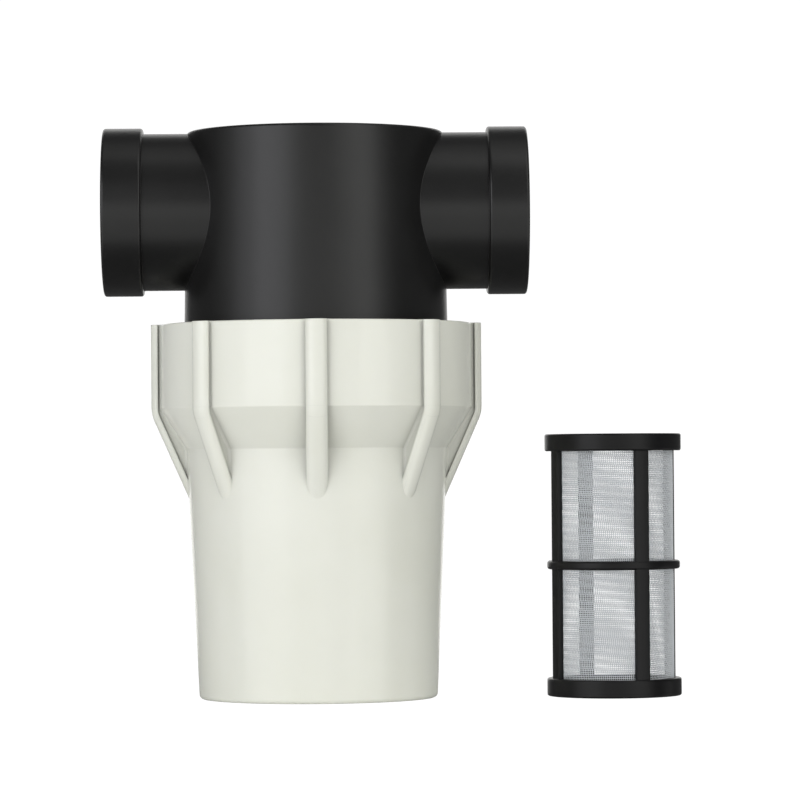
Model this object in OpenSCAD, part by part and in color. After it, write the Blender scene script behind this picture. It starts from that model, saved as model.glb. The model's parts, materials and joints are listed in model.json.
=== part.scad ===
// In-line strainer for a water pump: a black two-port head screws into a pale
// ribbed bowl, and the cylindrical screen that works inside it stands beside it.
// Millimetres, +Z up. The origin is the middle of the bowl's flat base, on the
// floor. The two ports lie along X, with the inlet at -X and the outlet at +X.

/* [Bowl] */
// Height of the bowl, base to rim
bowl_h = 94.3; // [90:0.1:120]
// Outer diameter of the upright collar
collar_d = 78.6; // [76:0.1:84]
// Height of the collar, knee to rim
collar_h = 21.2; // [19:0.1:22]
// Height of the cone below the collar
cone_h = 10.25; // [8:0.05:13]
// Outer diameter where the cone meets the body
body_top_d = 65.7; // [64:0.1:67]
// Outer diameter of the body at its base
base_d = 60; // [54:0.5:63]
// Wall thickness of the body and the cone
bowl_wall = 3; // [2.2:0.1:3.5]
// Thickness of the floor
floor_t = 4; // [3:0.1:5]

/* [Ribs] */
// Number of upright ribs, one of them facing the front
rib_count = 8; // [4:4:12]
// Width of a rib's rounded cap
rib_w = 5.4; // [4.8:0.1:6.6]
// Depth of a rib's cap, half an ellipse across
rib_cap_t = 1.8; // [1.4:0.1:2.2]
// How far a rib stands out from the collar
rib_proud = 2.4; // [2:0.1:3.5]
// How much the web behind a cap is set in from each side of it
web_inset = 0.6; // [0.2:0.1:1]
// How far below the collar's knee a rib bends inwards
rib_bend_low = 1.4; // [0.5:0.1:3]
// Distance from the rim down to where a rib dies into the body
rib_drop = 43.9; // [38:0.1:50]
// Outer bend radius of a rib
rib_bend_r = 7; // [3:0.5:10]
// Radius of the fillets where a rib meets the wall
rib_fillet_r = 1.2; // [0.6:0.1:1.6]

/* [Screw joint] */
// Wall of the collar behind the thread
collar_wall = 3.8; // [3:0.1:4.5]
// Depth of the thread between the bowl and the nose
thread_depth = 1.8; // [1.4:0.1:2.2]
// Radial clearance between the nose and the bowl
fit_gap = 0.3; // [0.2:0.05:0.4]
// Length of the head's nose below the rim
nose_l = 24.3; // [23.8:0.1:25]
// Width of the ledge that stops the nose
ledge_w = 1.8; // [1.2:0.1:2.2]
// Length of the sealing bore above the ledge
seal_bore_l = 9; // [7:0.5:10]
// Thickness of the shoulder that closes the bowl's mouth
shoulder_t = 1.8; // [1.2:0.1:2.4]
// Depth of the shoulder's top below the rim
shoulder_drop = 0.6; // [0.3:0.1:1]
// Section of the seal as it sits in its groove
seal_section = 2.44; // [2.2:0.02:2.6]
// Height of the seal's middle above the nose's end
seal_rise = 4; // [3:0.1:5]

/* [Head] */
// How far the head's side is set in from the nose
head_inset = 0.2; // [0.1:0.05:0.6]
// Draft of the head's side, base to top, on the radius
head_draft = 0.85; // [0.2:0.05:1.2]
// Wall of the head
head_wall = 4.35; // [3.5:0.05:5]
// Thickness of the head's top plate
head_top_t = 4.5; // [3.5:0.1:6]
// How far the flat top lies above the ports' necks
head_over = 0.2; // [0.1:0.1:3]

/* [Ports] */
// Height of the port axis above the bowl's rim
port_rise = 28.4; // [26:0.1:40]
// Length of a port beyond the head's side
port_l = 20.1; // [18:0.1:30]
// Root bore of the one inch pipe thread
port_bore_d = 33.3; // [31:0.1:34]
// Depth of the thread bore behind its lead-in
port_bore_l = 17; // [14:0.1:17.5]
// Length of the lead-in at the mouth
lead_in_l = 1.25; // [0.8:0.05:1.6]
// Wall of a port's neck
port_wall = 3.15; // [2.6:0.05:4]
// How far a port's end collar stands out from its neck
end_collar_t = 1.4; // [1:0.1:3]
// Length of a port's end collar
end_collar_l = 10; // [6:0.5:14]
// Bore of the inlet passage behind the thread
inlet_bore_d = 25; // [20:0.5:27]

/* [Outlet duct] */
// Wall of the downcomer at its tip
tip_wall = 1.9; // [1.5:0.1:2.5]
// Wall that the downcomer gains above its tip
tip_step = 1.1; // [0.8:0.1:1.5]
// Length of the tip that goes into the screen
tip_l = 6; // [5:0.1:8]
// Radial clearance between the tip and the screen's seat
tip_gap = 0.2; // [0.1:0.05:0.3]
// Wall of the level outlet pipe inside the head
pipe_wall = 3.3; // [2.4:0.1:4]

/* [Screen] */
// Free distance between the screen and the nearest rib
screen_gap = 15.8; // [5:0.2:60]
// Height of the screen
screen_h = 66; // [60:0.5:70]
// Outer diameter over the screen's posts
screen_d = 33; // [30:0.1:36]
// How far the top ring stands out from the posts
top_ring_proud = 0.7; // [0.3:0.05:1]
// Height of the top ring
top_ring_h = 4.3; // [4:0.1:6]
// How far the bottom ring stands out from the posts
foot_ring_proud = 0.45; // [0.2:0.05:1]
// Height of the bottom ring
foot_ring_h = 4.5; // [3.5:0.1:6]
// Height of the middle ring
mid_ring_h = 2.2; // [1.6:0.1:3]
// Number of posts
post_count = 4; // [3:1:6]
// Width of a post
post_w = 3.6; // [2.5:0.1:5]
// Depth of a post outside the mesh
post_t = 1.25; // [1:0.05:1.6]
// Turn of the posts about the screen's axis
post_turn = 22.5; // [0:0.5:90]
// Thickness of the mesh
mesh_t = 0.24; // [0.16:0.02:0.4]
// Height of the seat that the screen stands on inside the bowl
seat_z = 6; // [5:0.1:8]
// Radial clearance between the screen and its seat in the bowl
seat_gap = 0.5; // [0.2:0.05:0.8]

/* [Hidden] */

BOWL_COLOUR = [0.90, 0.91, 0.87];
HEAD_COLOUR = [0.09, 0.09, 0.095];
SEAL_COLOUR = [0.03, 0.03, 0.03];
FRAME_COLOUR = [0.10, 0.10, 0.105];
MESH_COLOUR = [0.78, 0.79, 0.80];

// Roundness of turned surfaces
TURNED = 128;
// Steps round half of a rib's cap
CAP_STEPS = 14;
// Steps in a rounded edge
EDGE_STEPS = 6;
// Steps in the fillets at the foot of a rib
FILLET_STEPS = 4;
// Overshoot that carries a cutter through a face
PAST = 1;

// Levels of the bowl
knee_z = bowl_h - collar_h;
cone_foot_z = knee_z - cone_h;
rib_end_z = bowl_h - rib_drop;
nose_z = bowl_h - nose_l;
seal_top_z = nose_z + seal_bore_l;

// Radii of the bowl, from the collar inwards
base_r = base_d / 2;
body_top_r = body_top_d / 2;
collar_r = collar_d / 2;
thread_bore_r = collar_r - collar_wall;
seal_bore_r = thread_bore_r - thread_depth;
ledge_r = seal_bore_r - ledge_w;

// Leans of the bowl's outer wall from the vertical
body_lean = atan((body_top_r - base_r) / cone_foot_z);
cone_lean = atan((collar_r - body_top_r) / cone_h);

// Inside of the cone: the outer wall offset inwards, up to the ledge
inner_foot_z = cone_foot_z + bowl_wall * tan((body_lean + cone_lean) / 2);
inner_foot_r = body_r(inner_foot_z) - bowl_wall / cos(body_lean);
inner_cone_top_z = inner_foot_z + (ledge_r - inner_foot_r) / tan(cone_lean);

// A rib's outer line runs down the collar, bends and leans in to the body
rib_reach = collar_r + rib_proud;
rib_bend_z = knee_z - rib_bend_low;
rib_lean = atan((rib_reach - body_r(rib_end_z)) / (rib_bend_z - rib_end_z));
rib_slant_l = (rib_bend_z - rib_end_z) / cos(rib_lean);
bend_run = rib_bend_r * tan(rib_lean / 2);
bend_top_z = rib_bend_z + bend_run;
rib_sunk_z = rib_end_z + rib_cap_t / tan(rib_lean - body_lean);

// Nose of the head and the groove for its seal
nose_r = seal_bore_r - fit_gap;
shoulder_r = thread_bore_r - fit_gap;
seal_slack = 0.03;
groove_z = nose_z + seal_rise;
groove_ratio = 1.4;
groove_w = seal_section * groove_ratio;
groove_r = seal_bore_r - seal_section - 2 * seal_slack;
seal_r = groove_r + seal_slack + seal_section / 2;

// Head and ports
port_z = bowl_h + port_rise;
port_bore_r = port_bore_d / 2;
neck_r = port_bore_r + port_wall;
head_r = nose_r - head_inset;
head_bore_r = head_r - head_wall;
head_top_z = port_z + neck_r + head_over;
head_bore_top_z = head_top_z - head_top_t;
port_end = head_r + port_l;
port_shoulder_x = port_end - lead_in_l - port_bore_l;

// Screen, from its posts inwards
post_outer_r = screen_d / 2;
post_inner_r = post_outer_r - post_t;
mesh_clear = 0.13;
mesh_outer_r = post_inner_r - mesh_clear;
mesh_inner_r = mesh_outer_r - mesh_t;
mesh_mid_r = mesh_outer_r - mesh_t / 2;
mesh_slot_play = 0.08;
mesh_slot_t = mesh_t + 2 * mesh_slot_play;
mesh_slot_depth = 1.5;
mid_z = screen_h / 2;
top_ring_low = screen_h - top_ring_h;

// Stepped and coned seat in the screen's top ring, for the downcomer's tip
seat_step = 0.8;
seat_top_r = mesh_mid_r;
seat_taper = 1.5;
seat_land = 0.6;
seat_low_r = seat_top_r - seat_taper;
seat_low_z = top_ring_low + seat_land;
seat_cone_h = screen_h - seat_step - seat_low_z;
seat_slope = (seat_top_r - seat_low_r) / seat_cone_h;

// Downcomer and outlet duct
tip_r = seat_low_r - tip_gap;
downcomer_r = tip_r + tip_step;
duct_r = tip_r - tip_wall;
screen_top_z = seat_z + screen_h;
tip_z = screen_top_z - tip_l;
tip_cone_z = seat_z + seat_low_z;
level_step = 0.5;
elbow_step = 0.8;
level_r = duct_r + level_step;
elbow_r = duct_r + elbow_step;

// Seat of the screen on the bowl's floor: a ring around its foot and a plug inside
foot_lip = 0.7;
foot_inner_r = mesh_mid_r - foot_lip;
foot_ring_r = post_outer_r + foot_ring_proud;
seat_ring_h = 4;
seat_ring_wall = 1.7;
seat_plug_h = 3;
seat_bore_r = foot_ring_r + seat_gap;
seat_ring_r = seat_bore_r + seat_ring_wall;
seat_plug_r = foot_inner_r - seat_gap;

// Where the screen stands, beside the bowl
top_ring_r = post_outer_r + top_ring_proud;
screen_x = rib_reach + screen_gap + top_ring_r;

// Gaps in the mesh: columns and rows in each window between the posts
gap_columns = 5;
gap_rows = 3;
gap_land = 0.9;
hoop_pitch = 2.8;
hoop_t = 0.3;

// Outer radius of the bowl's body at a height
function body_r(z) = base_r + (body_top_r - base_r) * z / cone_foot_z;

// Points along an arc of radius r about [x, y], from angle a to angle b
function arc(x, y, r, a, b, steps = EDGE_STEPS) =
    [for (i = [0:steps]) [x + r * cos(a + (b - a) * i / steps),
                          y + r * sin(a + (b - a) * i / steps)]];

module turned(points) {
    rotate_extrude($fn = TURNED)
        polygon(points);
}

// The bowl without its ribs, as a full solid
module bowl_outside() {
    base_edge = 1.2;
    rim_edge = 0.5;
    turned(concat(
        [[0, 0]],
        arc(base_r + base_edge * tan(body_lean) - base_edge / cos(body_lean), base_edge,
            base_edge, -90, -body_lean),
        [[body_top_r, cone_foot_z], [collar_r, knee_z]],
        arc(collar_r - rim_edge, bowl_h - rim_edge, rim_edge, 0, 90),
        [[0, bowl_h]]));
}

// Everything hollow in the bowl: body, cone, sealing bore and thread bore
module bowl_inside() {
    mouth = 0.5;
    turned([
        [0, seat_z + seat_plug_h],
        [seat_plug_r, seat_z + seat_plug_h],
        [seat_plug_r, seat_z],
        [seat_bore_r, seat_z],
        [seat_bore_r, seat_z + seat_ring_h],
        [seat_ring_r, seat_z + seat_ring_h],
        [seat_ring_r, floor_t],
        [body_r(floor_t) - bowl_wall, floor_t],
        [inner_foot_r, inner_foot_z],
        [ledge_r, inner_cone_top_z],
        [ledge_r, nose_z],
        [seal_bore_r, nose_z],
        [seal_bore_r, seal_top_z],
        [thread_bore_r, seal_top_z + thread_depth],
        [thread_bore_r, bowl_h - mouth],
        [thread_bore_r + mouth, bowl_h],
        [thread_bore_r + mouth, bowl_h + PAST],
        [0, bowl_h + PAST]]);
}

// Section of a rib's cap, less a little all round: half an ellipse, its flat side near
// the Y axis
module cap_section(less) {
    polygon([for (i = [0:CAP_STEPS])
        let (a = -90 + 180 * i / CAP_STEPS)
        [less + (rib_cap_t - 2 * less) * cos(a), (rib_w / 2 - less) * sin(a)]]);
}

// A rib's cap along +X: upright on the collar, round the bend and down to the body.
// The bend is a hair thinner than the straight runs and reaches into both of them.
module rib_cap() {
    under_r = rib_reach - rib_cap_t;
    sink = 0.5;
    hair = 0.02;
    reach_in = 2;
    translate([under_r, 0, bend_top_z])
        linear_extrude(bowl_h - bend_top_z)
            cap_section(0);
    translate([rib_reach - rib_bend_r, 0, bend_top_z])
        rotate([-90, -reach_in, 0])
            rotate_extrude(angle = rib_lean + 2 * reach_in, $fn = TURNED)
                translate([rib_bend_r - rib_cap_t, 0])
                    cap_section(hair);
    translate([rib_reach, 0, rib_bend_z])
        rotate([0, rib_lean, 0])
            translate([-rib_cap_t, 0, -rib_slant_l - sink])
                linear_extrude(rib_slant_l + sink - bend_run)
                    cap_section(0);
}

// The web behind a cap, from the rim down to where the rib ends
module rib_web() {
    inset = rib_cap_t / 2;
    bend = [rib_reach - inset, rib_bend_z + inset * tan(rib_lean / 2)];
    foot = [body_r(rib_end_z) - inset * cos(rib_lean), rib_end_z + inset * sin(rib_lean)];
    rotate([90, 0, 0])
        linear_extrude(rib_w - 2 * web_inset, center = true)
            polygon([[bend[0], bowl_h], bend, foot,
                     [foot[0], cone_foot_z], [ledge_r, knee_z], [ledge_r, bowl_h]]);
}

// Foot of a web with its two fillets, along a straight stretch of the wall between
// a low and a high point, each a radius and a height
module rib_foot(low, high) {
    bite = 0.1;
    edge_y = rib_w / 2 - web_inset - bite + rib_fillet_r;
    middle = rib_fillet_r - bite - edge_y * edge_y / (2 * base_r);
    sink = 0.6;
    translate([low[0], 0, low[1]])
        rotate([0, atan2(high[0] - low[0], high[1] - low[1]), 0])
            linear_extrude(norm(high - low))
                polygon(concat(
                    [[-sink, -edge_y]],
                    arc(middle, -edge_y, rib_fillet_r, 180, 90, FILLET_STEPS),
                    arc(middle, edge_y, rib_fillet_r, 270, 180, FILLET_STEPS),
                    [[-sink, edge_y]]));
}

// One rib along +X; its feet on the collar and the cone run on a little past the knee
module rib() {
    knee = [collar_r, knee_z];
    cone_foot = [body_top_r, cone_foot_z];
    run_on = rib_fillet_r * tan(cone_lean / 2) / 2;
    rib_cap();
    rib_web();
    rib_foot(knee - [0, run_on], [collar_r, bowl_h]);
    rib_foot(cone_foot, knee + run_on * [sin(cone_lean), cos(cone_lean)]);
    rib_foot([body_r(rib_sunk_z), rib_sunk_z], cone_foot);
}

module bowl() {
    color(BOWL_COLOUR)
        difference() {
            union() {
                bowl_outside();
                for (i = [0:rib_count - 1])
                    rotate([0, 0, 360 * i / rib_count])
                        rib();
            }
            bowl_inside();
        }
}

// The head without its ports, as a full solid with the seal's groove
module head_outside() {
    nose_edge = 0.8;
    top_edge = 0.8;
    shoulder_z = bowl_h - shoulder_drop;
    turned(concat(
        [[0, nose_z],
         [nose_r - nose_edge, nose_z],
         [nose_r, nose_z + nose_edge],
         [nose_r, groove_z - groove_w / 2],
         [groove_r, groove_z - groove_w / 2],
         [groove_r, groove_z + groove_w / 2],
         [nose_r, groove_z + groove_w / 2],
         [nose_r, shoulder_z - shoulder_t],
         [shoulder_r, shoulder_z - shoulder_t],
         [shoulder_r, shoulder_z],
         [head_r, shoulder_z]],
        arc(head_r - head_draft - top_edge, head_top_z - top_edge, top_edge, 0, 90),
        [[0, head_top_z]]));
}

// One port's outside along +Z, from the head's axis to its end face
module port_outside() {
    step = port_end - end_collar_l;
    edge = 0.7;
    end_r = neck_r + end_collar_t;
    turned(concat(
        [[0, 0], [neck_r, 0], [neck_r, step]],
        arc(end_r - edge, step + edge, edge, -90, 0),
        arc(end_r - edge, port_end - edge, edge, 0, 90),
        [[0, port_end]]));
}

// One port's thread bore along +Z, with its lead-in
module port_bore() {
    lead_in_slope = 1.1;
    mouth_r = port_bore_r + lead_in_l * lead_in_slope;
    turned([
        [0, port_shoulder_x],
        [port_bore_r, port_shoulder_x],
        [port_bore_r, port_end - lead_in_l],
        [mouth_r, port_end],
        [mouth_r, port_end + PAST],
        [0, port_end + PAST]]);
}

// Turns what is drawn along +Z to lie along X at the ports' height
module along_x(side) {
    translate([0, 0, port_z])
        rotate([0, side * 90, 0])
            children();
}

// The level outlet pipe inside the head, carried up to the top plate
module outlet_pipe() {
    pipe_r = level_r + pipe_wall;
    reach = head_bore_r + head_wall / 2;
    intersection() {
        union() {
            along_x(1)
                cylinder(r = pipe_r, h = reach, $fn = TURNED);
            translate([0, -pipe_r, port_z])
                cube([reach, 2 * pipe_r, head_bore_top_z + PAST - port_z]);
        }
        cylinder(r = reach, h = head_top_z, $fn = TURNED);
    }
}

// The upright outlet tube, with a coned tip that plugs into the screen's top ring
module downcomer() {
    turned([
        [0, tip_z],
        [tip_r, tip_z],
        [tip_r, tip_cone_z],
        [downcomer_r, tip_cone_z + tip_step / seat_slope],
        [downcomer_r, head_bore_top_z + PAST],
        [0, head_bore_top_z + PAST]]);
}

// The passage from the screen's inside to the outlet
module outlet_passage() {
    translate([0, 0, tip_z - PAST])
        cylinder(r = duct_r, h = port_z - tip_z + PAST, $fn = TURNED);
    translate([0, 0, port_z])
        sphere(r = elbow_r, $fn = TURNED);
    along_x(1)
        cylinder(r = level_r, h = port_shoulder_x + PAST, $fn = TURNED);
}

// The passage from the inlet's thread bore into the hollow around the downcomer
module inlet_passage() {
    start = head_bore_r - 3;
    along_x(-1)
        translate([0, 0, start])
            cylinder(d = inlet_bore_d, h = port_shoulder_x + PAST - start, $fn = TURNED);
}

// The hollow of the head around the downcomer, with a little draft
module head_hollow() {
    draft = 0.3;
    translate([0, 0, nose_z - PAST])
        cylinder(r1 = head_bore_r + draft, r2 = head_bore_r,
                 h = head_bore_top_z - nose_z + PAST, $fn = TURNED);
}

module head() {
    color(HEAD_COLOUR)
        difference() {
            union() {
                difference() {
                    union() {
                        head_outside();
                        for (side = [-1, 1])
                            along_x(side)
                                port_outside();
                    }
                    head_hollow();
                }
                outlet_pipe();
                downcomer();
            }
            for (side = [-1, 1])
                along_x(side)
                    port_bore();
            outlet_passage();
            inlet_passage();
        }
}

module seal() {
    color(SEAL_COLOUR)
        translate([0, 0, groove_z])
            rotate_extrude($fn = TURNED)
                translate([seal_r, 0])
                    circle(d = seal_section, $fn = 32);
}

// Puts the screen where it stands, beside the bowl on the same floor
module screen_place() {
    translate([screen_x, 0, 0])
        rotate([0, 0, post_turn])
            children();
}

// Slot that holds one end of the mesh
module mesh_slot(z, h) {
    translate([0, 0, z])
        rotate_extrude($fn = TURNED)
            translate([mesh_mid_r - mesh_slot_t / 2, 0])
                square([mesh_slot_t, h]);
}

module top_ring() {
    edge = 0.5;
    rim_r = seat_top_r + edge;
    turned(concat(
        [[seat_low_r, top_ring_low]],
        arc(top_ring_r - edge, top_ring_low + edge, edge, -90, 0),
        arc(top_ring_r - edge, screen_h - edge, edge, 0, 90),
        [[rim_r, screen_h],
         [rim_r, screen_h - seat_step],
         [seat_top_r, screen_h - seat_step],
         [seat_low_r, seat_low_z]]));
}

module mid_ring() {
    edge = 0.7;
    proud = 0.25;
    r = post_outer_r + proud;
    turned(concat(
        [[post_inner_r, mid_z - mid_ring_h / 2]],
        arc(r - edge, mid_z - mid_ring_h / 2 + edge, edge, -90, 0),
        arc(r - edge, mid_z + mid_ring_h / 2 - edge, edge, 0, 90),
        [[post_inner_r, mid_z + mid_ring_h / 2]]));
}

module foot_ring() {
    edge = 0.5;
    turned(concat(
        [[foot_inner_r, 0]],
        arc(foot_ring_r - edge, edge, edge, -90, 0),
        arc(foot_ring_r - edge, foot_ring_h - edge, edge, 0, 90),
        [[foot_inner_r, foot_ring_h]]));
}

// The posts run into both rings
module posts() {
    low = foot_ring_h - PAST;
    high = top_ring_low + PAST;
    intersection() {
        difference() {
            translate([0, 0, low])
                cylinder(r = post_outer_r, h = high - low, $fn = TURNED);
            cylinder(r = post_inner_r, h = screen_h, $fn = TURNED);
        }
        for (i = [0:post_count - 1])
            rotate([0, 0, 360 * i / post_count])
                translate([0, -post_w / 2, 0])
                    cube([post_outer_r + PAST, post_w, screen_h]);
    }
}

module screen_frame() {
    color(FRAME_COLOUR)
        screen_place()
            difference() {
                union() {
                    top_ring();
                    mid_ring();
                    foot_ring();
                    posts();
                }
                mesh_slot(top_ring_low - PAST, mesh_slot_depth + PAST);
                mesh_slot(foot_ring_h - mesh_slot_depth, mesh_slot_depth + PAST);
            }
}

// Gaps of one window of the mesh, between two posts and two rings
module window_gaps(z0, z1) {
    post_angle = 2 * asin((post_w / 2 + gap_land) / mesh_inner_r);
    step = (360 / post_count - post_angle) / gap_columns;
    row = (z1 - z0) / gap_rows;
    gap_w = mesh_inner_r * step * PI / 180 - gap_land;
    for (i = [0:gap_columns - 1])
        for (k = [0:gap_rows - 1])
            rotate([0, 0, post_angle / 2 + (i + 0.5) * step])
                translate([0, -gap_w / 2, z0 + k * row + gap_land / 2])
                    cube([post_outer_r, gap_w, row - gap_land]);
}

module screen_mesh() {
    end_gap = 0.1;
    low = foot_ring_h - mesh_slot_depth + end_gap;
    high = top_ring_low + mesh_slot_depth - end_gap;
    window_edge = 0.5;
    lower = [foot_ring_h + window_edge, mid_z - mid_ring_h / 2 - window_edge];
    upper = [mid_z + mid_ring_h / 2 + window_edge, top_ring_low - window_edge];
    hoops = floor((upper[1] - lower[0]) / hoop_pitch);
    color(MESH_COLOUR)
        screen_place() {
            difference() {
                translate([0, 0, low])
                    cylinder(r = mesh_outer_r, h = high - low, $fn = TURNED);
                cylinder(r = mesh_inner_r, h = screen_h, $fn = TURNED);
                for (i = [0:post_count - 1])
                    rotate([0, 0, 360 * i / post_count]) {
                        window_gaps(lower[0], lower[1]);
                        window_gaps(upper[0], upper[1]);
                    }
            }
            for (k = [0:hoops])
                translate([0, 0, lower[0] + k * hoop_pitch])
                    rotate_extrude($fn = TURNED)
                        translate([mesh_inner_r - hoop_t / 2, 0])
                            square(hoop_t);
        }
}

bowl();
head();
seal();
screen_frame();
screen_mesh();
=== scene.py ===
"""Looks of the water pump strainer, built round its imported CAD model. Metres, +Z up, ports along X.

The housing stands on its bowl at the origin and the screen stands beside it at +X. The CAD solids carry the
forms; this script gives them their finishes and adds what is too fine for them: the screw thread between head
and bowl, the pipe threads in the ports, and the screen's woven wires.
"""

import json
import math

import bpy
import numpy as np
from mathutils import Matrix, Vector


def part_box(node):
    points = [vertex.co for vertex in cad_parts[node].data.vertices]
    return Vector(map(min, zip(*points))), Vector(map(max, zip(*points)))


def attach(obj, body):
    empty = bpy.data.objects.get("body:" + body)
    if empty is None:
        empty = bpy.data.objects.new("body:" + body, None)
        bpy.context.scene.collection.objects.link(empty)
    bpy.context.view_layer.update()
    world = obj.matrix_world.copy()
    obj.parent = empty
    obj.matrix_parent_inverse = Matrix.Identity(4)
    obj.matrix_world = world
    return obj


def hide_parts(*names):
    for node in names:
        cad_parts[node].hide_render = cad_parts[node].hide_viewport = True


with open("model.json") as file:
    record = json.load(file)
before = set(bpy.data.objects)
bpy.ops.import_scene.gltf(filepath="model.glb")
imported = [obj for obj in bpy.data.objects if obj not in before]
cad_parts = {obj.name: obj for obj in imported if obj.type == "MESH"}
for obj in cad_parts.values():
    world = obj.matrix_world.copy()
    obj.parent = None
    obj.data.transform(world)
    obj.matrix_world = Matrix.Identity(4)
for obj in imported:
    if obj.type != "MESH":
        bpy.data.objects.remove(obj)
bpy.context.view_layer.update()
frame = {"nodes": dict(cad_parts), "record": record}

MM = 0.001
HOUSING = "bowl_and_screen"


# Sizes that the frame gives

RIM_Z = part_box("bowl")[1].z
PORT_END_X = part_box("head")[1].x
MESH_LOW, MESH_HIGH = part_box("screen_mesh")
SCREEN_X = (MESH_LOW.x + MESH_HIGH.x) / 2
OUTLET = next(mount for mount in frame["record"]["mounts"] if mount["name"] == "outlet")
PORT_Z = OUTLET["pos_m"][2]
PORT_BORE_R = OUTLET["dims"]["r_mm"] * MM


# Mesh building with numpy

def mesh_object(name, points, quads, smooth):
    """An object at the origin from an array of points and an array of quads."""
    mesh = bpy.data.meshes.new(name)
    mesh.from_pydata(points.reshape(-1, 3).tolist(), [], quads.tolist())
    mesh.polygons.foreach_set("use_smooth", np.full(len(mesh.polygons), smooth))
    mesh.update()
    obj = bpy.data.objects.new(name, mesh)
    bpy.context.scene.collection.objects.link(obj)
    return obj


def closed_tubes(name, points, smooth, turned=False):
    """Four-sided tubes with closed ends, as one object, from an array of points by tube, ring and side.

    A wall's quad joins two neighbouring sides on two neighbouring rings, and the first and last ring close
    their ends. The faces point outwards where the sides run anticlockwise, seen from ahead; turned points them
    outwards where they run clockwise.
    """
    number = np.arange(points[..., 0].size).reshape(points.shape[:3])
    beside = np.roll(number, -1, axis=2)
    walls = np.stack([number[:, :-1], beside[:, :-1], beside[:, 1:], number[:, 1:]], axis=-1).reshape(-1, 4)
    quads = np.concatenate([walls, number[:, 0, ::-1], number[:, -1]])
    return mesh_object(name, points, quads[:, ::-1] if turned else quads, smooth)


STEPS_A_TURN = 96
RUN_OUT = math.pi / 4
FOOT_SUNK = 0.25 * MM


def helix_thread(name, wall_r, crest_r, z_low, z_high, pitch, start, foot_w, crest_w):
    """A screw ridge: a trapezoid carried along a right-hand helix, its height rising and falling at its ends.

    With turn t in radians, the middle of the section is at angle start + t and at height
    z_low + foot_w / 2 + pitch * t / 2 pi. Where a share f of the run-out at an end is passed, the crest has
    3 f ** 2 - 2 f ** 3 of its height. The foot is sunk a little into the wall that carries it.
    """
    rise = crest_r - wall_r
    turns = (z_high - z_low - foot_w) / pitch
    count = int(turns * STEPS_A_TURN)
    t = np.linspace(0, turns * 2 * math.pi, count)
    fade = np.clip(np.minimum(t, t[-1] - t) / RUN_OUT, 0.0, 1.0)
    fade = fade * fade * (3 - 2 * fade)
    foot = np.full(count, wall_r - math.copysign(FOOT_SUNK, rise))
    crest = wall_r + rise * fade
    radii = np.stack([foot, crest, crest, foot], axis=1)
    corners = np.array([-foot_w, -crest_w, crest_w, foot_w]) / 2
    z = (z_low + foot_w / 2 + pitch * t / (2 * math.pi))[:, None] + corners
    angle = (start + t)[:, None]
    points = np.stack([radii * np.cos(angle), radii * np.sin(angle), z], axis=-1)
    return closed_tubes(name, points[None], smooth=False, turned=rise > 0)


def onto_port(obj, side):
    """Carries a thread made along +Z at the origin onto the port at that side, in its mesh."""
    turn = Matrix.Rotation(side * math.pi / 2, 4, "Y")
    obj.data.transform(Matrix.Translation((0, 0, PORT_Z)) @ turn)
    obj.data.update()


# Materials

PLASTIC_IOR = 1.49
MOTTLE = 3


def linear(*tone):
    """Linear colour of an sRGB tone from 0 to 255."""
    share = [c / 255 for c in tone]
    return (*[((c + 0.055) / 1.055) ** 2.4 if c > 0.04045 else c / 12.92 for c in share], 1.0)


def new_material(name):
    """A material with its nodes, its links and its Principled shader."""
    material = bpy.data.materials.new(name)
    material.use_nodes = True
    nodes = material.node_tree.nodes
    return material, nodes, material.node_tree.links, nodes["Principled BSDF"]


def noise(nodes, links, scale, detail, roughness):
    """A noise on Object coordinates, scale in cells a metre."""
    where = nodes.new("ShaderNodeTexCoord")
    grain = nodes.new("ShaderNodeTexNoise")
    grain.inputs["Scale"].default_value = scale
    grain.inputs["Detail"].default_value = detail
    grain.inputs["Roughness"].default_value = roughness
    links.new(where.outputs["Object"], grain.inputs["Vector"])
    return grain.outputs["Fac"]


def spread(nodes, links, source, low, high):
    """Maps a noise from its middle range to the range low to high."""
    ramp = nodes.new("ShaderNodeMapRange")
    ramp.inputs["From Min"].default_value = 0.3
    ramp.inputs["From Max"].default_value = 0.7
    ramp.inputs["To Min"].default_value = low
    ramp.inputs["To Max"].default_value = high
    links.new(source, ramp.inputs["Value"])
    return ramp.outputs["Result"]


def two_tone(nodes, links, source, tone_a, tone_b):
    """Blends one tone into the other over a noise's middle range."""
    ramp = nodes.new("ShaderNodeValToRGB")
    for stop, position, tone in zip(ramp.color_ramp.elements, (0.35, 0.65), (tone_a, tone_b)):
        stop.position = position
        stop.color = linear(*tone)
    links.new(source, ramp.inputs["Fac"])
    return ramp.outputs["Color"]


def grained_bump(nodes, links, source, depth, edge_r):
    """Fine grain of a moulded skin over edges rounded by edge_r, as a normal."""
    edge = nodes.new("ShaderNodeBevel")
    edge.samples = 8
    edge.inputs["Radius"].default_value = edge_r
    bump = nodes.new("ShaderNodeBump")
    bump.inputs["Strength"].default_value = 1.0
    bump.inputs["Distance"].default_value = depth
    links.new(source, bump.inputs["Height"])
    links.new(edge.outputs["Normal"], bump.inputs["Normal"])
    return bump.outputs["Normal"]


def painted_recess_shade(nodes, links, colour, reach, depth):
    """Painted shade: darkens a colour in corners and recesses, where shade falls, as colour times openness **
    depth, openness within reach.
    """
    occlusion = nodes.new("ShaderNodeAmbientOcclusion")
    occlusion.samples = 8
    occlusion.only_local = True
    occlusion.inputs["Distance"].default_value = reach
    curve = nodes.new("ShaderNodeMath")
    curve.operation = "POWER"
    curve.inputs[1].default_value = depth
    shaded_colour = nodes.new("ShaderNodeVectorMath")
    shaded_colour.operation = "SCALE"
    links.new(occlusion.outputs["AO"], curve.inputs[0])
    links.new(colour, shaded_colour.inputs[0])
    links.new(curve.outputs["Value"], shaded_colour.inputs["Scale"])
    return shaded_colour.outputs["Vector"]


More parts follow.
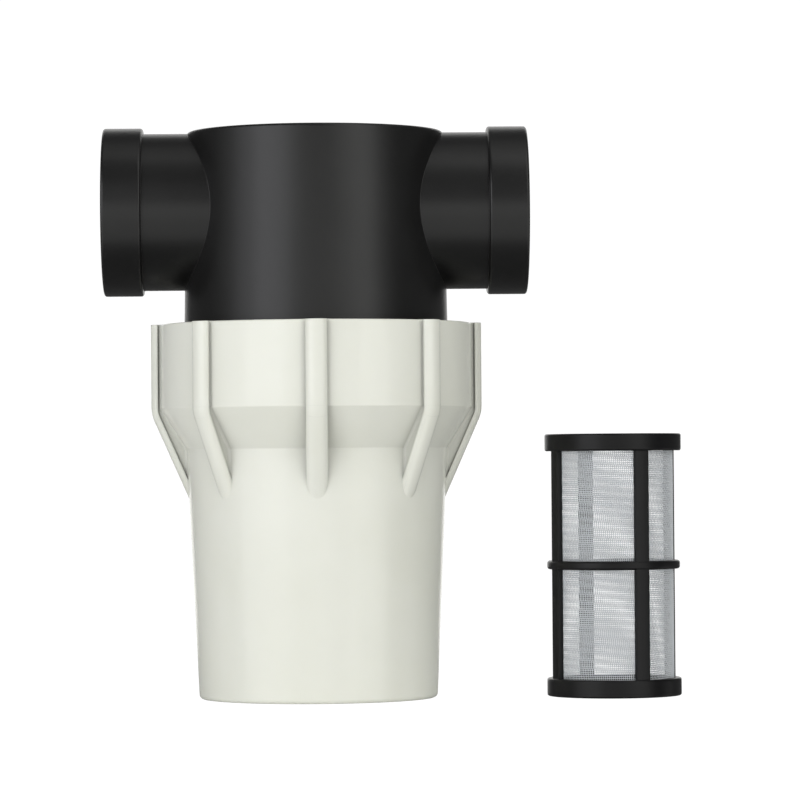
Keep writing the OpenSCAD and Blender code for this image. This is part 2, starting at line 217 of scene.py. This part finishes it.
def black_plastic(name, tone, edge_r, gloss):
    """Satin black moulded plastic: faint mottling, fine spark grain and slightly uneven gloss."""
    material, nodes, links, shader = new_material(name)
    fine = noise(nodes, links, scale=2600, detail=2, roughness=0.6)
    broad = noise(nodes, links, scale=90, detail=3, roughness=0.5)
    links.new(two_tone(nodes, links, broad, tone, [c + MOTTLE for c in tone]), shader.inputs["Base Color"])
    links.new(spread(nodes, links, fine, low=0.30, high=0.36), shader.inputs["Roughness"])
    links.new(grained_bump(nodes, links, fine, 0.006 * MM, edge_r), shader.inputs["Normal"])
    shader.inputs["IOR"].default_value = PLASTIC_IOR
    shader.inputs["Specular IOR Level"].default_value = gloss
    return material


def bowl_plastic():
    """Off-white moulded plastic: satin, with painted shade darkening its recesses, faint flow mottling and
    grain.
    """
    material, nodes, links, shader = new_material("bowl_plastic")
    fine = noise(nodes, links, scale=1100, detail=2, roughness=0.5)
    broad = noise(nodes, links, scale=40, detail=3, roughness=0.5)
    tone = two_tone(nodes, links, broad, (229, 230, 219), (232, 233, 223))
    # Painted shade: the base colour is darkened in corners and recesses beside the ribs, where shade falls.
    links.new(painted_recess_shade(nodes, links, tone, reach=12 * MM, depth=0.5), shader.inputs["Base Color"])
    links.new(spread(nodes, links, fine, low=0.18, high=0.23), shader.inputs["Roughness"])
    links.new(grained_bump(nodes, links, fine, depth=0.0015 * MM, edge_r=0.4 * MM), shader.inputs["Normal"])
    shader.inputs["IOR"].default_value = PLASTIC_IOR
    shader.inputs["Subsurface Weight"].default_value = 0.05
    shader.inputs["Subsurface Radius"].default_value = (1.0, 0.95, 0.7)
    shader.inputs["Subsurface Scale"].default_value = 0.5 * MM
    return material


def seal_rubber():
    """Black rubber with a soft uneven sheen."""
    material, nodes, links, shader = new_material("seal_rubber")
    fine = noise(nodes, links, scale=1200, detail=3, roughness=0.6)
    links.new(two_tone(nodes, links, fine, (20, 20, 20), (27, 27, 27)), shader.inputs["Base Color"])
    links.new(spread(nodes, links, fine, low=0.5, high=0.65), shader.inputs["Roughness"])
    return material


def mesh_steel():
    """Drawn stainless wire: bright, with its gloss and tone changing a little from wire to wire."""
    material, nodes, links, shader = new_material("mesh_steel")
    fine = noise(nodes, links, scale=900, detail=2, roughness=0.5)
    links.new(two_tone(nodes, links, fine, (220, 224, 228), (228, 231, 234)), shader.inputs["Base Color"])
    links.new(spread(nodes, links, fine, low=0.32, high=0.45), shader.inputs["Roughness"])
    shader.inputs["Metallic"].default_value = 0.35
    return material


MATERIALS = {
    "bowl_plastic": bowl_plastic(),
    "head_plastic": black_plastic("head_plastic", (14, 14, 14), edge_r=0.2 * MM, gloss=0.41),
    "frame_plastic": black_plastic("frame_plastic", (13, 13, 14), edge_r=0.25 * MM, gloss=0.2),
    "seal_rubber": seal_rubber(),
    "mesh_steel": mesh_steel(),
}


def dress(obj, slot):
    """Gives an object the finish of one of the record's material slots."""
    obj.data.materials.clear()
    obj.data.materials.append(MATERIALS[slot])


for part in frame["record"]["subparts"]:
    dress(frame["nodes"][part["node"]], part["material_slot"])


def add_piece(obj, body, slot):
    """Finishes a new piece and lets it ride on its body."""
    dress(obj, slot)
    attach(obj, body)


# Screw thread between the head's nose and the bowl's collar

SCREW_PITCH = 4 * MM
BOWL_THREAD_R = 35.5 * MM
NOSE_R = 33.4 * MM
THREAD_DEPTH = 1.8 * MM
RIDGE_FOOT = 1.9 * MM
RIDGE_CREST = 0.9 * MM
THREAD_LOW = RIM_Z - 13.2 * MM
THREAD_HIGH = RIM_Z - 2.6 * MM


def screw_threads():
    """The nose's ridge, and the bowl's, which runs half a pitch lower so that the two pass."""
    for name, body, slot, wall_r, height, start in (
            ("nose_thread", "head", "head_plastic", NOSE_R, THREAD_DEPTH, 0.0),
            ("bowl_thread", HOUSING, "bowl_plastic", BOWL_THREAD_R, -THREAD_DEPTH, math.pi)):
        thread = helix_thread(name, wall_r, wall_r + height, THREAD_LOW, THREAD_HIGH, SCREW_PITCH, start,
                              RIDGE_FOOT, RIDGE_CREST)
        add_piece(thread, body, slot)


screw_threads()


# Pipe threads in the ports

PIPE_PITCH = 2.309 * MM
PIPE_DEPTH = 1.5 * MM
PIPE_FOOT = 2.1 * MM
PIPE_CREST = 0.45 * MM
PIPE_LEAD_IN = 1.3 * MM
PIPE_LENGTH = 16.4 * MM


def pipe_threads():
    """The ridge inside each port, from behind its lead-in to the end of its bore."""
    top = PORT_END_X - PIPE_LEAD_IN
    for name, side in (("inlet_thread", -1), ("outlet_thread", 1)):
        thread = helix_thread(name, PORT_BORE_R, PORT_BORE_R - PIPE_DEPTH, top - PIPE_LENGTH, top, PIPE_PITCH,
                              0.0, PIPE_FOOT, PIPE_CREST)
        onto_port(thread, side)
        add_piece(thread, "head", "head_plastic")


pipe_threads()


# Woven wires of the screen

WIRE_PITCH = 0.5 * MM
WIRE_D = 0.17 * MM
WIRE_SIDES = 4
MESH_R = 15.0 * MM
LEAN = 0.12
WEFTS = 2


def woven_wires():
    """A plain weave on a cylinder, as upright wires and two wefts that climb round them side by side.

    Wire i meets turn k at height z = z0 + pitch * (k + 2 i / n) and angle 2 pi i / n + lean * (z - z0) / radius,
    because the cloth is rolled a little askew. Where they cross, the wire's radius is the mesh's radius plus
    half a wire times (-1) ** (i + k), and the weft's is that with the other sign, so each passes over one and
    under the next. Turn k of a weft goes on into turn k + 2.
    """
    count = 2 * round(math.pi * MESH_R / WIRE_PITCH)
    height = MESH_HIGH.z - MESH_LOW.z - WIRE_D
    levels = WEFTS * round(height / WIRE_PITCH / WEFTS)
    i, k = np.meshgrid(np.arange(count), np.arange(levels - WEFTS), indexing="ij")
    rise = height * (k + WEFTS * i / count) / levels
    angle = 2 * math.pi * i / count + LEAN * rise / MESH_R
    z = MESH_LOW.z + WIRE_D / 2 + rise
    weave = WIRE_D / 2 * np.where((i + k) % 2 == 0, 1.0, -1.0)
    out = np.stack([np.cos(angle), np.sin(angle), np.zeros_like(z)], axis=-1)
    along = np.stack([-np.sin(angle), np.cos(angle), np.zeros_like(z)], axis=-1)
    up = np.zeros_like(out)
    up[..., 2] = 1.0
    axis = up * z[..., None] + np.array([SCREEN_X, 0.0, 0.0])
    side = 2 * math.pi * np.arange(WIRE_SIDES)[:, None] / WIRE_SIDES

    def rings(sign, across):
        """A ring of points round each crossing, in the plane of out and across."""
        middle = axis + out * (MESH_R + sign * weave)[..., None]
        spokes = np.cos(side) * across[..., None, :] + np.sin(side) * out[..., None, :]
        return middle[..., None, :] + WIRE_D / 2 * spokes

    turns = rings(-1, up).transpose(1, 0, 2, 3).reshape(-1, WEFTS, count, WIRE_SIDES, 3)
    wefts = turns.transpose(1, 0, 2, 3, 4).reshape(WEFTS, -1, WIRE_SIDES, 3)
    for name, points in (("upright_wires", rings(1, -along)), ("wefts", wefts)):
        wires = closed_tubes(name, points, smooth=True)
        add_piece(wires, HOUSING, "mesh_steel")
        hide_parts("screen_mesh")


woven_wires()


# Camera, solved from the photograph's outlines

CAMERA_DISTANCE = 1.0773
CAMERA_HEIGHT = 0.0592
CAMERA_YAW = 0.01954
CAMERA_PITCH = 0.0146
CAMERA_ROLL = -0.0077
CAMERA_LENS = 191.99
CAMERA_SENSOR = 36.0


def add_camera():
    """A long lens level with the bowl's upper half, turned a little right, up and about its own axis."""
    cy, sy = math.cos(CAMERA_YAW), math.sin(CAMERA_YAW)
    cp, sp = math.cos(CAMERA_PITCH), math.sin(CAMERA_PITCH)
    cr, sr = math.cos(CAMERA_ROLL), math.sin(CAMERA_ROLL)
    ahead = Vector((sy * cp, cy * cp, sp))
    level = Vector((cy, -sy, 0.0))
    upward = Vector((-sy * sp, -cy * sp, cp))
    right = cr * level + sr * upward
    top = cr * upward - sr * level
    place = Matrix((right, top, -ahead)).transposed().to_4x4()
    place.translation = Vector((0.0, -CAMERA_DISTANCE, CAMERA_HEIGHT))
    data = bpy.data.cameras.new("camera")
    data.lens = CAMERA_LENS
    data.sensor_width = CAMERA_SENSOR
    data.clip_start = 0.01
    data.clip_end = 50.0
    camera = bpy.data.objects.new("camera", data)
    camera.matrix_world = place
    bpy.context.scene.collection.objects.link(camera)
    bpy.context.scene.camera = camera


add_camera()


# Stage and light

FLOOR_HALF_WIDTH = 4.0
FLOOR_FRONT_Y = -3.0
BEND_Y = 1.2
BEND_R = 0.8
BEND_ROWS = 17
BACKDROP_TOP = 3.0
FLOOR_GLOW = 1.12
FLOOR_GLOW_SHARE = 0.9


def floor_paper():
    """Matt white paper, lifted to pure white where the camera sees it, as the photograph's ground is."""
    material, nodes, links, shader = new_material("floor")
    shader.inputs["Base Color"].default_value = linear(240, 240, 240)
    shader.inputs["Roughness"].default_value = 0.9
    glow = nodes.new("ShaderNodeEmission")
    glow.inputs["Strength"].default_value = FLOOR_GLOW
    mix = nodes.new("ShaderNodeMixShader")
    path = nodes.new("ShaderNodeLightPath")
    share = nodes.new("ShaderNodeMath")
    share.operation = "MULTIPLY"
    share.inputs[1].default_value = FLOOR_GLOW_SHARE
    links.new(path.outputs["Is Camera Ray"], share.inputs[0])
    links.new(share.outputs[0], mix.inputs["Fac"])
    links.new(shader.outputs["BSDF"], mix.inputs[1])
    links.new(glow.outputs["Emission"], mix.inputs[2])
    links.new(mix.outputs["Shader"], nodes["Material Output"].inputs["Surface"])
    return material


def add_floor():
    """A pale floor that sweeps up into a backdrop: flat, then a quarter circle, then upright.

    With turn t from 0 to a right angle, the bend is y = BEND_Y + r sin t, z = r - r cos t. The photograph's
    ground is cut out, so this one lets the low softboxes' light through and isn't seen in gloss.
    """
    t = np.linspace(0, math.pi / 2, BEND_ROWS)
    y = np.concatenate([[FLOOR_FRONT_Y], BEND_Y + BEND_R * np.sin(t), [BEND_Y + BEND_R]])
    z = np.concatenate([[0.0], BEND_R - BEND_R * np.cos(t), [BACKDROP_TOP]])
    x = np.array([-FLOOR_HALF_WIDTH, FLOOR_HALF_WIDTH])
    points = np.stack(np.broadcast_arrays(x[None, :], y[:, None], z[:, None]), axis=-1)
    row = np.arange(len(y) - 1) * 2
    floor = mesh_object("floor", points, np.stack([row, row + 1, row + 3, row + 2], axis=-1), smooth=True)
    floor.data.materials.append(floor_paper())
    floor.visible_glossy = False
    floor.visible_shadow = False


LIGHT_DISTANCE = 1.1
LIGHT_TARGET = Vector((0.0, 0.0, 0.01))
NARROWEST = 0.5
LOW = (-40.0, -3.0)
LEVEL = (-3.0, 40.0)
HIGH = (40.0, 75.0)
TOP = (75.0, 90.0)
COOL = (0.98, 0.985, 1.015)
WARM = (1.0, 1.0, 0.98)

# Name, window of azimuths, window of elevations, radiance and tint
SOFTBOXES = (
    ("left_far", (-92, -74), LEVEL, 0.3, WARM),
    ("left_outer", (-74, -53), LEVEL, 1.4, COOL),
    ("left_key", (-53, -43), LEVEL, 3.15, COOL),
    ("left_inner", (-43, -22), LEVEL, 2.4, COOL),
    ("left_edge", (-22, -12), LEVEL, 1.1, WARM),
    ("camera_fill", (-12, 19), (-3, 15), 1.1, WARM),
    ("right_inner", (19, 31), LEVEL, 1.3, WARM),
    ("right_key", (31, 55), LEVEL, 1.8, WARM),
    ("right_outer", (55, 67), LEVEL, 0.4, WARM),
    ("low_left_far", (-112, -92), LOW, 0.3, WARM),
    ("low_left", (-74, -22), LOW, 1.3, WARM),
    ("low_camera", (-22, 19), LOW, 0.75, WARM),
    ("low_right", (19, 43), LOW, 1.2, WARM),
    ("low_right_outer", (43, 67), LOW, 1.4, WARM),
    ("low_right_far", (90, 112), LOW, 0.8, WARM),
    ("high_right", (20, 60), HIGH, 1.5, WARM),
    ("high_right_far", (60, 110), HIGH, 0.4, WARM),
    ("top_front", (-30, 30), TOP, 0.6, WARM),
    ("top_back", (150, 210), TOP, 0.3, WARM),
    ("back_light", (155, 205), LEVEL, 1.2, WARM),
)


def add_softbox(name, azimuths, elevations, radiance, tint):
    """A softbox that fills a window of directions seen from the housing, in degrees.

    Azimuth 0 is at the camera, positive to the right. A face of radiance 1 sends out pi watts a square metre,
    and a window of w degrees is 2 * distance * tan(w / 2) wide. The cosine of its elevation narrows it, but by
    no more than half.
    """
    azimuth, elevation = math.radians(sum(azimuths) / 2), math.radians(sum(elevations) / 2)
    back = Vector((math.sin(azimuth) * math.cos(elevation), -math.cos(azimuth) * math.cos(elevation),
                   math.sin(elevation)))
    reach = 2 * LIGHT_DISTANCE * max(math.cos(elevation), NARROWEST)
    data = bpy.data.lights.new(name, "AREA")
    data.shape = "RECTANGLE"
    data.size = reach * math.tan(math.radians(azimuths[1] - azimuths[0]) / 2)
    data.size_y = 2 * LIGHT_DISTANCE * math.tan(math.radians(elevations[1] - elevations[0]) / 2)
    data.color = tint
    data.energy = radiance * math.pi * data.size * data.size_y
    light = bpy.data.objects.new(name, data)
    light.location = LIGHT_TARGET + back * LIGHT_DISTANCE
    light.rotation_mode = "QUATERNION"
    light.rotation_quaternion = (-back).to_track_quat("-Z", "Y")
    light.visible_camera = False
    bpy.context.scene.collection.objects.link(light)


WORLD_LIGHT = 0.14


def add_world():
    """Faint light all round, seen as white where the camera looks past the stage."""
    world = bpy.data.worlds.new("world")
    world.use_nodes = True
    nodes, links = world.node_tree.nodes, world.node_tree.links
    back = nodes["Background"]
    back.inputs["Color"].default_value = (1.0, 1.0, 1.0, 1.0)
    path = nodes.new("ShaderNodeLightPath")
    level = nodes.new("ShaderNodeMapRange")
    level.inputs["To Min"].default_value = WORLD_LIGHT
    level.inputs["To Max"].default_value = 1.0
    links.new(path.outputs["Is Camera Ray"], level.inputs["Value"])
    links.new(level.outputs["Result"], back.inputs["Strength"])
    bpy.context.scene.world = world


add_floor()
for softbox in SOFTBOXES:
    add_softbox(*softbox)
add_world()

bpy.context.scene.view_settings.view_transform = "Standard"
bpy.context.scene.view_settings.look = "None"
